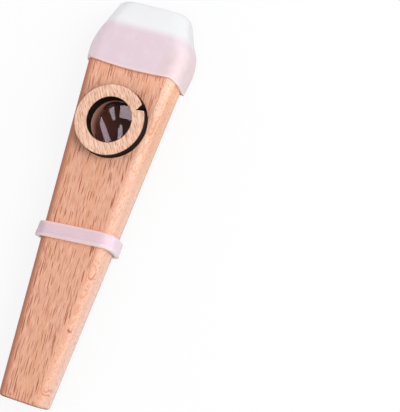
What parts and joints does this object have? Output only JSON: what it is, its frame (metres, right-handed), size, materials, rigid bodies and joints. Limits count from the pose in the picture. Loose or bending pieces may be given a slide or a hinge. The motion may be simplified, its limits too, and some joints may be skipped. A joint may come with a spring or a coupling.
{
  "type": "kazoo",
  "caption": "Tapered wooden kazoo with a flat mouth slot, round outlet, buzzing membrane under a notched retaining ring, soft mouth sleeve and soft grip band.",
  "frame": {"origin": "under the middle of the whole length and width, on the surface that the kazoo lies on", "axes": "+X across the body, +Y along it towards the mouth end, +Z out of the front face with the ring"},
  "size_m": [0.0364, 0.143, 0.0181],
  "materials": {
    "beech": "sanded, thinly oiled",
    "ring_wood": "pale face, edges burnt black by the cut",
    "frosted_rim": "frosted",
    "clear_film": "clear, glossy, slightly wrinkled",
    "silicone": "milky, half see-through, satin"
  },
  "bodies": {
    "body": {"beech_body": "beech"},
    "ring": {"retaining_ring": "ring_wood"},
    "membrane": {"membrane_rim": "frosted_rim", "membrane_film": "clear_film"},
    "sleeve": {"mouth_sleeve": "silicone"},
    "band": {"grip_band": "silicone"}
  },
  "joints": [
    {"name": "ring_lift", "type": "slide", "parent": "body", "child": "ring", "axis": [0, 0, 1], "range_m": [0, 0.014]},
    {"name": "membrane_lift", "type": "slide", "parent": "body", "child": "membrane", "axis": [0, 0, 1], "range_m": [0, 0.007]},
    {"name": "sleeve_pull", "type": "slide", "parent": "body", "child": "sleeve", "axis": [0, 1, 0], "range_m": [0, 0.025]},
    {"name": "band_slide", "type": "slide", "parent": "body", "child": "band", "axis": [0, -1, 0], "range_m": [0, 0.068]}
  ],
  "couplings": [
    {"joint": "membrane_lift", "follows": "ring_lift", "ratio": 0.5}
  ]
}
